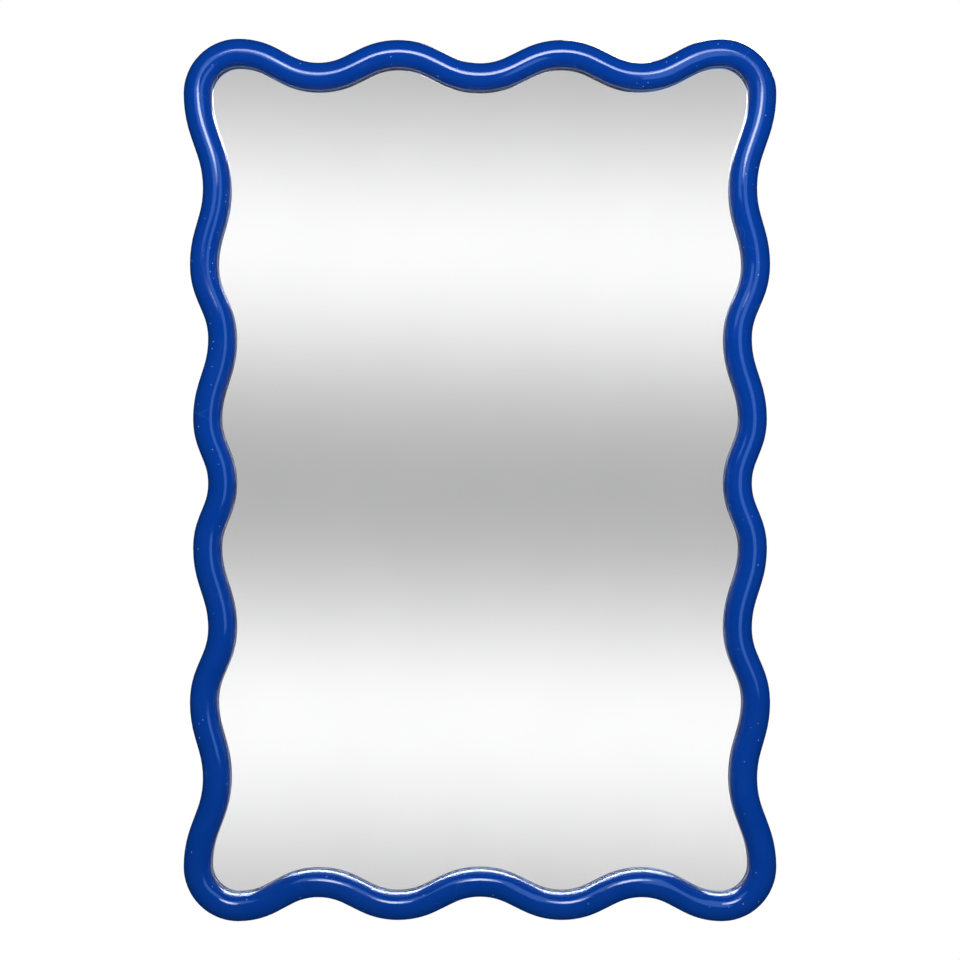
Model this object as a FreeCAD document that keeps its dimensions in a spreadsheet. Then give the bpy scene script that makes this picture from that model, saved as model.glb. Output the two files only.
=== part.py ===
import FreeCAD, Part
import math
import os
import Sketcher

Vector = FreeCAD.Vector
Placement = FreeCAD.Placement
Rotation = FreeCAD.Rotation

# A wall mirror in a wavy bead frame. X runs to the right, Z up, and the glass faces -Y.
# The origin is the middle of the wall plane, which the four bumpers touch at y = 0.
doc = FreeCAD.newDocument("wavy_mirror")
dims = doc.addObject("Spreadsheet::Sheet", "dims")

# Driving dimensions in millimetres.
SIZES = (
    ("overall_width", 610),
    ("overall_height", 908),
    ("corner_radius", 56.5),
    ("bead_width", 28.3),
    ("frame_depth", 25),
    ("back_edge_radius", 1.5),
    ("wave_depth", 25.2),
    ("stile_wave_drop", 3.5),
    ("rabbet_width", 6),
    ("glass_thickness", 4),
    ("glass_clearance", 1),
    ("tape_thickness", 1),
    ("tape_width", 3.5),
    ("tape_setback", 0.3),
    ("board_thickness", 3),
    ("board_margin", 6),
    ("dowel_diameter", 6),
    ("dowel_length", 30),
    ("dowel_chamfer", 0.8),
    ("dowel_end_gap", 1),
    ("dowel_fit", 0.05),
    ("screw_length", 16),
    ("screw_shank_diameter", 3.5),
    ("screw_tip_length", 4),
    ("screw_head_diameter", 7),
    ("screw_head_height", 2.2),
    ("recess_span", 4),
    ("recess_slot_width", 1),
    ("recess_depth", 1.3),
    ("screw_fit", 0.05),
    ("pilot_gap", 1),
    ("wire_diameter", 2.6),
    ("strap_thickness", 1),
    ("strap_width", 10),
    ("strap_hole_clearance", 0.3),
    ("eye_clearance", 0.06),
    ("eye_taper", 4),
    ("head_gap", 0.5),
    ("hook_gap", 6),
    ("ring_side_gap", 4),
    ("ring_corner_radius", 3),
    ("hanger_setback", 1),
    ("bumper_base_diameter", 14),
    ("bumper_face_diameter", 11),
    ("bumper_height", 6),
    ("bumper_rounding", 1.2),
)

# Crests and troughs from the middle of a side outwards: their places as shares of half the side's
# length, and how far they draw in from the corner crests as shares of the wave depth.
RAIL_PLACE_SHARES = (0, 0.277, 0.546)
RAIL_INSET_SHARES = (1, 0.05, 0.98)
STILE_PLACE_SHARES = (0, 0.146, 0.328, 0.496, 0.668)
STILE_INSET_SHARES = (1, 0.385, 1, 0.255, 0.785)

# How much of the way from two arcs that meet (0) to one straight line (1) a wave's flank goes.
FLANK_SHARE = 0.34

# The two dowels of a corner, front and rear, as shares of the frame's depth behind the crown.
DOWEL_ROW_SHARES = (0.36, 0.7)

# Roundings as shares: of a screw head's height, and of a strap's width at its free end.
HEAD_ROUND_SHARE = 0.75
STRAP_END_SHARE = 0.49

# A hanger's sizes, worked out from the wire, the strip and the screw. The strip folds round the
# ring's bar in a drop-shaped eye, then lies double; the bow leaves room for a hook past its end.
EYE_RADIUS = "(dims.wire_diameter / 2 + dims.eye_clearance)"
FOLD_RADIUS = f"({EYE_RADIUS} + dims.strap_thickness)"
EYE_END = f"(dims.eye_taper + dims.strap_thickness * {EYE_RADIUS} / dims.eye_taper)"
STRAP_HOLE_PLACE = f"({EYE_END} + dims.head_gap + dims.screw_head_diameter / 2)"
STRAP_HOLE_RADIUS = "(dims.screw_shank_diameter / 2 + dims.strap_hole_clearance)"
STRAP_LENGTH = f"({STRAP_HOLE_PLACE} + dims.strap_width / 2)"
RING_HALF_WIDTH = "(dims.strap_width / 2 + dims.ring_side_gap + dims.wire_diameter / 2)"
RING_REACH = f"({STRAP_LENGTH} + dims.hook_gap + dims.wire_diameter / 2)"

# The crests that carry the hangers, counted from the middle of their side.
STILE_HANGER_CREST = 3
RAIL_HANGER_CREST = 1

RIGHT = Vector(1, 0, 0)
BACK = Vector(0, 1, 0)
UP = Vector(0, 0, 1)
LEFT = Vector(-1, 0, 0)
FRONT = Vector(0, -1, 0)
DOWN = Vector(0, 0, -1)

for row, (alias, value) in enumerate(SIZES, start=1):
    dims.set(f"A{row}", alias)
    dims.set(f"B{row}", str(value))
    dims.setAlias(f"B{row}", alias)
doc.recompute()


def size(alias):
    """A driving dimension, read from the sheet."""
    return float(dims.get(alias))


def worked_out(expression):
    """The value of an expression in the sheet's dimensions."""
    return float(dims.evalExpression(expression))


half_width = size("overall_width") / 2
half_height = size("overall_height") / 2
half_bead = size("bead_width") / 2

# Depths, from the wall plane towards the viewer.
board_back = -size("bumper_height")
frame_back = board_back - size("board_thickness")
crown = frame_back - size("frame_depth")
glass_front = frame_back - size("glass_thickness")
shoulder = glass_front - size("tape_thickness")

# Lines that follow the waves, as offsets outwards from the bead's centre line.
sight_line = -half_bead
rabbet_line = sight_line + size("rabbet_width")
glass_line = rabbet_line - size("glass_clearance")
tape_inner_line = sight_line + size("tape_setback")
tape_outer_line = tape_inner_line + size("tape_width")
board_line = half_bead - size("board_margin")
screw_line = (rabbet_line + board_line) / 2
hanger_line = -size("hanger_setback")


def wave_extremes(half_length, half_span, place_shares, inset_shares, shift):
    """Crests and troughs of a side's centre line, from end to end, as (along, outward) pairs."""
    crest_line = half_span - half_bead
    end = half_length - size("corner_radius")
    half = []
    for place_share, inset_share in zip(place_shares, inset_shares):
        half.append((place_share * half_length, crest_line - inset_share * size("wave_depth")))
    before = [(shift - place, out) for place, out in reversed(half[1:])]
    after = [(shift + place, out) for place, out in half]
    return [(-end, crest_line)] + before + after + [(end, crest_line)]


def wave_runs(first, second):
    """The arc, straight flank and arc between two extremes; each node also has its outward normal."""
    length = second[0] - first[0]
    rise = abs(second[1] - first[1])
    way = math.copysign(1, second[1] - first[1])
    slope = math.atan2(rise, length) * (2 - FLANK_SHARE)
    radius = (length * math.sin(slope) - rise * math.cos(slope)) / (2 * (1 - math.cos(slope)))
    leaving = []
    arriving = []
    for turn in (0, slope / 2, slope):
        reach = radius * math.sin(turn)
        lift = way * radius * (1 - math.cos(turn))
        normal = (-way * math.sin(turn), math.cos(turn))
        leaving.append((first[0] + reach, first[1] + lift, *normal))
        arriving.insert(0, (second[0] - reach, second[1] - lift, *normal))
    return [leaving, [leaving[-1], arriving[0]], arriving]


def corner_run(half_length, half_span, turns):
    """A stretch of corner arc; a turn of zero is the corner crest that ends the side's waves."""
    radius = size("corner_radius") - half_bead
    end = math.copysign(half_length - size("corner_radius"), sum(turns))
    rise = half_span - size("corner_radius")
    nodes = []
    for turn in turns:
        sine = math.sin(turn)
        cosine = math.cos(turn)
        nodes.append((end + radius * sine, rise + radius * cosine, sine, cosine))
    return nodes


class Side:
    """One side of the frame between two mitres, with its centre line and its extremes."""

    def __init__(self, along, outward, half_length, half_span, place_shares, inset_shares, shift):
        self.along = along
        self.outward = outward
        self.extremes = wave_extremes(half_length, half_span, place_shares, inset_shares, shift)
        mitre = math.pi / 4
        flat_runs = [corner_run(half_length, half_span, (-mitre, -mitre / 2, 0))]
        for first, second in zip(self.extremes, self.extremes[1:]):
            flat_runs += wave_runs(first, second)
        flat_runs.append(corner_run(half_length, half_span, (0, mitre / 2, mitre)))
        self.runs = [[self.place(*node) for node in run] for run in flat_runs]

    def place(self, along, outward, normal_along, normal_outward):
        point = self.along * along + self.outward * outward
        normal = self.along * normal_along + self.outward * normal_outward
        return point, normal

    def edges(self, offset):
        """The centre line moved outwards by an offset."""
        edges = []
        for run in self.runs:
            points = [point + normal * offset for point, normal in run]
            curve = Part.LineSegment if len(points) == 2 else Part.Arc
            edges.append(curve(*points).toShape())
        return edges

    def swept(self, face):
        """A face of the starting mitre, carried along the centre line."""
        return Part.Wire(self.edges(0)).makePipe(face)

    def section(self, outlines):
        """Straight and curved outline pieces, given as (outward, depth) points, at the first mitre."""
        start, normal = self.runs[0][0]
        edges = []
        for outline in outlines:
            points = [start + normal * out + BACK * depth for out, depth in outline]
            curve = Part.LineSegment if len(points) == 2 else Part.Arc
            edges.append(curve(*points).toShape())
        return Part.Face(Part.Wire(edges))

    def troughs(self, offset):
        """The points where the side draws in, moved outwards by an offset."""
        inner = self.extremes[1:-1:2]
        return [self.along * along + self.outward * (out + offset) for along, out in inner]


rail_shares = (RAIL_PLACE_SHARES, RAIL_INSET_SHARES)
stile_shares = (STILE_PLACE_SHARES, STILE_INSET_SHARES)
drop = size("stile_wave_drop")

# The sides follow each other clockwise, as the viewer sees them.
sides = {
    "top_rail": Side(RIGHT, UP, half_width, half_height, *rail_shares, 0),
    "right_stile": Side(DOWN, RIGHT, half_height, half_width, *stile_shares, drop),
    "bottom_rail": Side(LEFT, DOWN, half_width, half_height, *rail_shares, 0),
    "left_stile": Side(UP, LEFT, half_height, half_width, *stile_shares, -drop),
}


def frame_loop(offset):
    """The closed line around the frame at an offset from the bead's centre line."""
    edges = []
    for side in sides.values():
        edges += side.edges(offset)
    return Part.Wire(edges)


def own_plane(body, role):
    """One of a body's own origin planes."""
    return next(item for item in body.Origin.OriginFeatures if item.Role == role)


def plane_sketch(body, name, role):
    """An empty sketch on one of a body's own planes."""
    sketch = body.newObject("Sketcher::SketchObject", name)
    sketch.AttachmentSupport = [(own_plane(body, role), "")]
    sketch.MapMode = "FlatFace"
    return sketch


def bind(sketch, constraints):
    """Dimensions of a sketch, each given as a kind, the points that it measures, and an expression."""
    for kind, points, expression in constraints:
        datum = sketch.addConstraint(Sketcher.Constraint(kind, *points, worked_out(expression)))
        sketch.setExpression(f"Constraints[{datum}]", expression)


def corner_sketch(body, name, role, corners):
    """A closed outline whose corners are pairs of expressions."""
    sketch = plane_sketch(body, name, role)
    points = [Vector(worked_out(across), worked_out(up), 0) for across, up in corners]
    count = len(points)
    for index in range(count):
        sketch.addGeometry(Part.LineSegment(points[index], points[(index + 1) % count]), False)
    for index, corner in enumerate(corners):
        last = (index - 1) % count
        sketch.addConstraint(Sketcher.Constraint("Coincident", last, 2, index, 1))
        for kind, expression, axis in zip(("DistanceX", "DistanceY"), corner, (-2, -1)):
            if expression == "0":
                sketch.addConstraint(Sketcher.Constraint("PointOnObject", index, 1, axis))
            else:
                bind(sketch, [(kind, (index, 1), expression)])
    return sketch


def turned_body(label, corners):
    """A body turned about its Z axis from an outline of (radius, height) expressions."""
    body = doc.addObject("PartDesign::Body", label)
    sketch = corner_sketch(body, label + "_outline", "XZ_Plane", corners)
    turned = body.newObject("PartDesign::Revolution", label + "_turned")
    turned.Profile = sketch
    turned.ReferenceAxis = (sketch, ["V_Axis"])
    turned.Angle = 360
    doc.recompute()
    return body


def edges_where(feature, test):
    """The names of a feature's edges that pass a test."""
    return [f"Edge{number}" for number, edge in enumerate(feature.Shape.Edges, start=1) if test(edge)]


def rim(height, radius):
    """A test for the round edge of a turned body at a height and radius."""

    def test(edge):
        if not isinstance(edge.Curve, Part.Circle):
            return False
        level = edge.Curve.Center.z
        return math.isclose(edge.Curve.Radius, radius) and math.isclose(level, height)

    return test


def rounded(body, names, expression):
    """A fillet on named edges of the body's last feature."""
    fillet = body.newObject("PartDesign::Fillet", body.Name + "_rounding")
    fillet.Base = (fillet.BaseFeature, names)
    fillet.setExpression("Radius", expression)
    doc.recompute()
    return fillet


def grouped(label, template, placements):
    """Copies of one solid at several placements, kept as separate solids of one node."""
    copies = []
    for placement in placements:
        copy = template.Shape.copy()
        copy.Placement = placement
        copies.append(copy)
    group = doc.addObject("Part::Feature", label)
    group.Shape = Part.makeCompound(copies)
    return group


# Screws with a domed head, all alike. The head rises along +Z from its seat at zero.
screw = turned_body(
    "pan_head_screw",
    (
        ("0", "dims.screw_head_height"),
        ("dims.screw_head_diameter / 2", "dims.screw_head_height"),
        ("dims.screw_head_diameter / 2", "0"),
        ("dims.screw_shank_diameter / 2", "0"),
        ("dims.screw_shank_diameter / 2", "dims.screw_tip_length - dims.screw_length"),
        ("0", "-dims.screw_length"),
    ),
)
head_rim = rim(size("screw_head_height"), size("screw_head_diameter") / 2)
rounded(screw, edges_where(screw.Tip, head_rim), f"dims.screw_head_height * {HEAD_ROUND_SHARE}")
uncut_volume = screw.Shape.Volume
arm = "dims.recess_span / 2"
slot = "dims.recess_slot_width / 2"
cross = corner_sketch(
    screw,
    "cross_recess",
    "XY_Plane",
    (
        (arm, slot),
        (slot, slot),
        (slot, arm),
        (f"-{slot}", arm),
        (f"-{slot}", slot),
        (f"-{arm}", slot),
        (f"-{arm}", f"-{slot}"),
        (f"-{slot}", f"-{slot}"),
        (f"-{slot}", f"-{arm}"),
        (slot, f"-{arm}"),
        (slot, f"-{slot}"),
        (arm, f"-{slot}"),
    ),
)
cross.setExpression("AttachmentOffset.Base.z", "dims.screw_head_height")
recess = screw.newObject("PartDesign::Pocket", "recess")
recess.Profile = cross
recess.setExpression("Length", "dims.recess_depth")
doc.recompute()
if screw.Shape.Volume >= uncut_volume:
    raise RuntimeError("the cross recess cut nothing")

# Dowels, all alike, with their middle at zero.
dowel_end = "dims.dowel_length / 2"
dowel_shoulder = "(dims.dowel_length / 2 - dims.dowel_chamfer)"
dowel_tip = "dims.dowel_diameter / 2 - dims.dowel_chamfer"
dowel = turned_body(
    "dowel",
    (
        ("0", dowel_end),
        (dowel_tip, dowel_end),
        ("dims.dowel_diameter / 2", dowel_shoulder),
        ("dims.dowel_diameter / 2", f"-{dowel_shoulder}"),
        (dowel_tip, f"-{dowel_end}"),
        ("0", f"-{dowel_end}"),
    ),
)

# Places of the dowels: across each mitre, along the corner arc's tangent.
dowel_places = []
for side in sides.values():
    mitre_point, mitre_normal = side.runs[-1][-1]
    for row_share in DOWEL_ROW_SHARES:
        depth = crown + row_share * size("frame_depth")
        turn = Rotation(UP, mitre_normal.cross(BACK))
        dowel_places.append(Placement(mitre_point + BACK * depth, turn))

# Places of the hangers: each ring turns about the middle of its eye, and the strap hangs from there.
eye_radius = worked_out(EYE_RADIUS)
strap_hole_place = worked_out(STRAP_HOLE_PLACE)
strap_length = worked_out(STRAP_LENGTH)
eye_depth = board_back + size("strap_thickness") + eye_radius
strap_back = board_back + 2 * size("strap_thickness")

crest_height = STILE_PLACE_SHARES[STILE_HANGER_CREST] * half_height - drop
crest_inset = STILE_INSET_SHARES[STILE_HANGER_CREST] * size("wave_depth")
stile_hanger = half_width - half_bead - crest_inset + hanger_line
rail_crest_inset = RAIL_INSET_SHARES[RAIL_HANGER_CREST] * size("wave_depth")
rail_hanger = half_height - half_bead - rail_crest_inset + hanger_line
rail_crest = -RAIL_PLACE_SHARES[RAIL_HANGER_CREST] * half_width
upright = Rotation()
sideways = Rotation(BACK, -90)
above_crest = crest_height + strap_length / 2
beside_crest = rail_crest - strap_length / 2
hanger_places = {
    "left": Placement(Vector(-stile_hanger, eye_depth, above_crest), upright),
    "right": Placement(Vector(stile_hanger, eye_depth, above_crest), upright),
    "top": Placement(Vector(beside_crest, eye_depth, rail_hanger), sideways),
    "bottom": Placement(Vector(beside_crest, eye_depth, -rail_hanger), sideways),
}

# Places of the screws, with their heads towards the wall.
head_back = Rotation(RIGHT, -90)
board_screw_places = []
for side in sides.values():
    for point in side.troughs(screw_line):
        board_screw_places.append(Placement(point + BACK * board_back, head_back))
hanger_screw_places = []
for place in hanger_places.values():
    seat = place.multVec(DOWN * strap_hole_place)
    seat.y = strap_back
    hanger_screw_places.append(Placement(seat, head_back))


def bore(start, direction, length, radius):
    """A round hole."""
    return Part.makeCylinder(radius, length, start, direction)


hole_radius = size("screw_shank_diameter") / 2 + size("screw_fit")
pilot_length = size("screw_length") + size("pilot_gap")
screw_bores = []
for place in board_screw_places + hanger_screw_places:
    screw_bores.append(bore(place.Base, FRONT, pilot_length, hole_radius))
dowel_radius = size("dowel_diameter") / 2 + size("dowel_fit")
half_bore = size("dowel_length") / 2 + size("dowel_end_gap")
dowel_bores = []
for place in dowel_places:
    start = place.multVec(DOWN * half_bore)
    direction = place.Rotation.multVec(UP)
    dowel_bores.append(bore(start, direction, 2 * half_bore, dowel_radius))

# The bead: a half round in front, straight walls, and a rabbet behind for tape and glass.
spring = crown + half_bead
edge_radius = size("back_edge_radius")
edge_middle = edge_radius * (1 - math.sqrt(0.5))
bead_outline = (
    ((sight_line, spring), (0, crown), (half_bead, spring)),
    ((half_bead, spring), (half_bead, frame_back - edge_radius)),
    (
        (half_bead, frame_back - edge_radius),
        (half_bead - edge_middle, frame_back - edge_middle),
        (half_bead - edge_radius, frame_back),
    ),
    ((half_bead - edge_radius, frame_back), (rabbet_line, frame_back)),
    ((rabbet_line, frame_back), (rabbet_line, shoulder)),
    ((rabbet_line, shoulder), (sight_line, shoulder)),
    ((sight_line, shoulder), (sight_line, spring)),
)
tape_outline = (
    ((tape_inner_line, shoulder), (tape_outer_line, shoulder)),
    ((tape_outer_line, shoulder), (tape_outer_line, glass_front)),
    ((tape_outer_line, glass_front), (tape_inner_line, glass_front)),
    ((tape_inner_line, glass_front), (tape_inner_line, shoulder)),
)
nodes = []
for label, side in sides.items():
    # Each member is the bead carried along its side, bored for its dowels and screws.
    member = doc.addObject("Part::Feature", label)
    bead = side.swept(side.section(bead_outline))
    (bored,) = bead.cut(Part.makeCompound(screw_bores + dowel_bores)).Solids
    member.Shape = bored
    # A strip of foam tape on the rabbet's shoulder cushions the glass.
    tape = doc.addObject("Part::Feature", "foam_tape_" + label.split("_")[0])
    tape.Shape = side.swept(side.section(tape_outline))
    nodes += [member, tape]

nodes.append(grouped("corner_dowels", dowel, dowel_places))

# The glass and the back board are cut to the same waves.
for label, offset, front, thickness in (
    ("mirror_glass", glass_line, glass_front, "dims.glass_thickness"),
    ("back_board_blank", board_line, frame_back, "dims.board_thickness"),
):
    outline = doc.addObject("Part::Feature", label + "_outline")
    outline.Shape = frame_loop(offset)
    outline.Placement = Placement(BACK * front, Rotation())
    sheet = doc.addObject("Part::Extrusion", label)
    sheet.Base = outline
    sheet.DirMode = "Custom"
    sheet.Dir = BACK
    sheet.Solid = True
    sheet.setExpression("LengthFwd", thickness)
nodes.append(doc.mirror_glass)
board_holes = doc.addObject("Part::Feature", "back_board_holes")
board_holes.Shape = Part.makeCompound(screw_bores)
board = doc.addObject("Part::Cut", "back_board")
board.Base = doc.back_board_blank
board.Tool = board_holes
nodes.append(board)

nodes.append(grouped("back_board_screws", screw, board_screw_places))
nodes.append(grouped("hanger_screws", screw, hanger_screw_places))


def hanger_strap(label):
    """A steel strip folded round the ring's bar, drawn from the side, with its round end bored."""
    body = doc.addObject("PartDesign::Body", label)
    profile = plane_sketch(body, label + "_profile", "YZ_Plane")
    fold = worked_out(FOLD_RADIUS)
    lean = 2 * math.atan2(eye_radius, size("eye_taper"))
    leaf = size("strap_thickness") - eye_radius
    seat_edge = Vector(-fold, 0, 0)
    seat_end = Vector(-fold, -strap_length, 0)
    leaf_end = Vector(leaf, -strap_length, 0)
    leaf_start = Vector(leaf, -worked_out(EYE_END), 0)
    fold_end = Vector(fold * math.cos(lean), -fold * math.sin(lean), 0)
    inner_start = Vector(-eye_radius, 0, 0)
    inner_end = Vector(eye_radius * math.cos(lean), -eye_radius * math.sin(lean), 0)
    inner_point = Vector(-eye_radius, -size("eye_taper"), 0)
    for geometry in (
        Part.LineSegment(seat_edge, seat_end),
        Part.LineSegment(seat_end, leaf_end),
        Part.LineSegment(leaf_end, leaf_start),
        Part.LineSegment(leaf_start, fold_end),
        Part.ArcOfCircle(Part.Circle(Vector(), UP, fold), -lean, math.pi),
        Part.LineSegment(inner_end, inner_point),
        Part.LineSegment(inner_point, inner_start),
        Part.ArcOfCircle(Part.Circle(Vector(), UP, eye_radius), -lean, math.pi),
    ):
        profile.addGeometry(geometry, False)
    for constraint in (
        ("Coincident", 0, 2, 1, 1),
        ("Coincident", 1, 2, 2, 1),
        ("Coincident", 2, 2, 3, 1),
        ("Tangent", 3, 2, 4, 1),
        ("Tangent", 4, 2, 0, 1),
        ("Coincident", 5, 2, 6, 1),
        ("Tangent", 6, 2, 7, 2),
        ("Tangent", 7, 1, 5, 1),
        ("Coincident", 4, 3, -1, 1),
        ("Coincident", 7, 3, -1, 1),
        ("Vertical", 0),
        ("Horizontal", 1),
        ("Vertical", 2),
        ("Vertical", 6),
        ("Parallel", 3, 5),
    ):
        profile.addConstraint(Sketcher.Constraint(*constraint))
    bind(
        profile,
        (
            ("Radius", (7,), EYE_RADIUS),
            ("Radius", (4,), FOLD_RADIUS),
            ("DistanceY", (6, 1, 6, 2), "dims.eye_taper"),
            ("DistanceX", (1, 1, 1, 2), "2 * dims.strap_thickness"),
            ("DistanceY", (2, 1, 2, 2), f"{STRAP_LENGTH} - {EYE_END}"),
        ),
    )
    strip = body.newObject("PartDesign::Pad", label + "_strip")
    strip.Profile = profile
    strip.Midplane = True
    strip.setExpression("Length", "dims.strap_width")
    doc.recompute()
    uncut = body.Shape.Volume
    hole_sketch = plane_sketch(body, label + "_hole_place", "XZ_Plane")
    hole_middle = Vector(0, -strap_hole_place, 0)
    hole_sketch.addGeometry(Part.Circle(hole_middle, UP, worked_out(STRAP_HOLE_RADIUS)), False)
    hole_sketch.addConstraint(Sketcher.Constraint("PointOnObject", 0, 3, -2))
    bind(
        hole_sketch,
        (
            ("DistanceY", (0, 3), f"-{STRAP_HOLE_PLACE}"),
            ("Radius", (0,), STRAP_HOLE_RADIUS),
        ),
    )
    drilled = body.newObject("PartDesign::Pocket", label + "_hole")
    drilled.Profile = hole_sketch
    drilled.Type = "ThroughAll"
    drilled.Midplane = True
    doc.recompute()
    if body.Shape.Volume >= uncut:
        raise RuntimeError("the strap's hole cut nothing")

    def end_corner(edge):
        box = edge.BoundBox
        upright_edge = math.isclose(box.YLength, 2 * size("strap_thickness"), rel_tol=1e-3)
        return upright_edge and math.isclose(box.ZMin, -strap_length, rel_tol=1e-3)

    rounded(body, edges_where(body.Tip, end_corner), f"dims.strap_width * {STRAP_END_SHARE}")
    return body


def hanger_ring(label):
    """A wire ring in the shape of a D: a straight bar in the eye, two short sides and a round bow."""
    body = doc.addObject("PartDesign::Body", label)
    path = plane_sketch(body, label + "_path", "XZ_Plane")
    bend = size("ring_corner_radius")
    half_ring = worked_out(RING_HALF_WIDTH)
    half_bar = half_ring - bend
    bow_place = f"{RING_HALF_WIDTH} - {RING_REACH}"
    bow_level = worked_out(bow_place)
    right_bend = Part.Circle(Vector(half_bar, -bend, 0), UP, bend)
    left_bend = Part.Circle(Vector(-half_bar, -bend, 0), UP, bend)
    bow = Part.Circle(Vector(0, bow_level, 0), UP, half_ring)
    for geometry in (
        Part.LineSegment(Vector(-half_bar, 0, 0), Vector(half_bar, 0, 0)),
        Part.ArcOfCircle(right_bend, 0, math.pi / 2),
        Part.LineSegment(Vector(half_ring, -bend, 0), Vector(half_ring, bow_level, 0)),
        Part.ArcOfCircle(bow, math.pi, 2 * math.pi),
        Part.LineSegment(Vector(-half_ring, bow_level, 0), Vector(-half_ring, -bend, 0)),
        Part.ArcOfCircle(left_bend, math.pi / 2, math.pi),
    ):
        path.addGeometry(geometry, False)
    for constraint in (
        ("Tangent", 0, 2, 1, 2),
        ("Tangent", 1, 1, 2, 1),
        ("Tangent", 2, 2, 3, 2),
        ("Tangent", 3, 1, 4, 1),
        ("Tangent", 4, 2, 5, 2),
        ("Tangent", 5, 1, 0, 1),
        ("PointOnObject", 0, 1, -1),
        ("Horizontal", 0),
        ("Vertical", 2),
        ("Equal", 1, 5),
        ("PointOnObject", 3, 3, -2),
    ):
        path.addConstraint(Sketcher.Constraint(*constraint))
    bind(
        path,
        (
            ("Radius", (1,), "dims.ring_corner_radius"),
            ("Radius", (3,), RING_HALF_WIDTH),
            ("DistanceY", (3, 3), bow_place),
        ),
    )
    wire = plane_sketch(body, label + "_wire", "YZ_Plane")
    wire.addGeometry(Part.Circle(Vector(), UP, size("wire_diameter") / 2), False)
    wire.addConstraint(Sketcher.Constraint("Coincident", 0, 3, -1, 1))
    bind(wire, [("Radius", (0,), "dims.wire_diameter / 2")])
    doc.recompute()
    pipe = body.newObject("PartDesign::AdditivePipe", label + "_pipe")
    pipe.Profile = wire
    pipe.Spine = path
    doc.recompute()
    return body


for corner, place in hanger_places.items():
    strap = hanger_strap("hanger_strap_" + corner)
    strap.Placement = place
    ring = hanger_ring("d_ring_" + corner)
    ring.Placement = place
    nodes += [strap, ring]

# Rubber bumpers on the board's corners hold the frame clear of the wall.
face_radius = "dims.bumper_face_diameter / 2"
bumper_corners = ("top_right", "bottom_right", "bottom_left", "top_left")
for corner, side in zip(bumper_corners, sides.values()):
    bumper = turned_body(
        "wall_bumper_" + corner,
        (
            ("0", "dims.bumper_height"),
            (face_radius, "dims.bumper_height"),
            ("dims.bumper_base_diameter / 2", "0"),
            ("0", "0"),
        ),
    )
    face_rim = rim(size("bumper_height"), size("bumper_face_diameter") / 2)
    rounded(bumper, edges_where(bumper.Tip, face_rim), "dims.bumper_rounding")
    mitre_point = side.runs[-1][-1][0]
    bumper.Placement = Placement(mitre_point + BACK * board_back, head_back)
    nodes.append(bumper)

doc.recompute()
for item in doc.Objects:
    if "Invalid" in item.State or "Error" in item.State:
        raise RuntimeError(f"{item.Label} could not be built")
for node in nodes:
    if node.Shape.isNull() or not node.Shape.isValid():
        raise RuntimeError(f"{node.Label} is not a sound solid")

os.makedirs("parts", exist_ok=True)
for node in nodes:
    node.Shape.exportStep(f"parts/{node.Label}.step")
    box = node.Shape.BoundBox
    solids = len(node.Shape.Solids)
    print(f"{node.Label}: {solids} solids, {box.XLength:.1f} x {box.YLength:.1f} x {box.ZLength:.1f} mm")
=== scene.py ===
import math
import bpy
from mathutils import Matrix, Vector


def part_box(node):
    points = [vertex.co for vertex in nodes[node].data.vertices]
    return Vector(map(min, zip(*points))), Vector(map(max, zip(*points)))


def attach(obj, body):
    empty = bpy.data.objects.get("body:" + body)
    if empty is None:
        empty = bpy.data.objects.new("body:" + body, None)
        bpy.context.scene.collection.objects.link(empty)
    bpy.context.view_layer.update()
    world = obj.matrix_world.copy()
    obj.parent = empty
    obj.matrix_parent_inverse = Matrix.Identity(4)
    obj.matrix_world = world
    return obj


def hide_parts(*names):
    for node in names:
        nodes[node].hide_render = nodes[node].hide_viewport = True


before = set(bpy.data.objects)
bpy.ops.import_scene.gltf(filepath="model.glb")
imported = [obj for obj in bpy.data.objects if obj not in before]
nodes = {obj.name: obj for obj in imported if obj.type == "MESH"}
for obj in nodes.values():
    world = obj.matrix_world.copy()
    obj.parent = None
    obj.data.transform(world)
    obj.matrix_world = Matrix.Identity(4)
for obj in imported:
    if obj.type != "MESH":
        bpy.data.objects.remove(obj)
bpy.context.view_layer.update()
scene = bpy.context.scene
backFacing = 0.5   # a face whose normal's Y is above this looks back
print("frame loaded:", len(nodes), "pieces")


def linear(hexColour):
    channels = [int(hexColour[i:i + 2], 16) / 255 for i in (1, 3, 5)]
    return (*[c / 12.92 if c <= 0.04045 else ((c + 0.055) / 1.055) ** 2.4 for c in channels], 1.0)


def metres(sizeMm):
    return sizeMm / 1000


def perMetre(sizeMm):   # a pattern's scale, from the real size of its grain
    return 1000 / sizeMm


def addNode(tree, kind, settings=None, sockets=None):
    node = tree.nodes.new("ShaderNode" + kind)
    for name, value in (settings or {}).items():
        setattr(node, name, value)
    for name, value in (sockets or {}).items():
        if isinstance(value, bpy.types.NodeSocket):
            tree.links.new(value, node.inputs[name])
        else:
            node.inputs[name].default_value = value
    return node


# what many nodes share; on a Mix node, socket 0 is the share, 2 and 3 are the two values,
# 6 and 7 the two colours, and the mixed colour comes out at 2
mixColour = {"data_type": "RGBA"}
mixValue = {"data_type": "FLOAT"}
smooth = {"interpolation_type": "SMOOTHSTEP"}
falling = {"To Min": 1.0, "To Max": 0.0}


def newMaterial(name):
    material = bpy.data.materials.new(name)
    material.use_nodes = True
    material.node_tree.nodes.clear()
    return material, material.node_tree


def dress(piece, *materials):
    piece.data.materials.clear()
    for material in materials:
        piece.data.materials.append(material)


def addMesh(name, mesh):
    piece = bpy.data.objects.new(name, mesh)
    scene.collection.objects.link(piece)
    return piece


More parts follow.
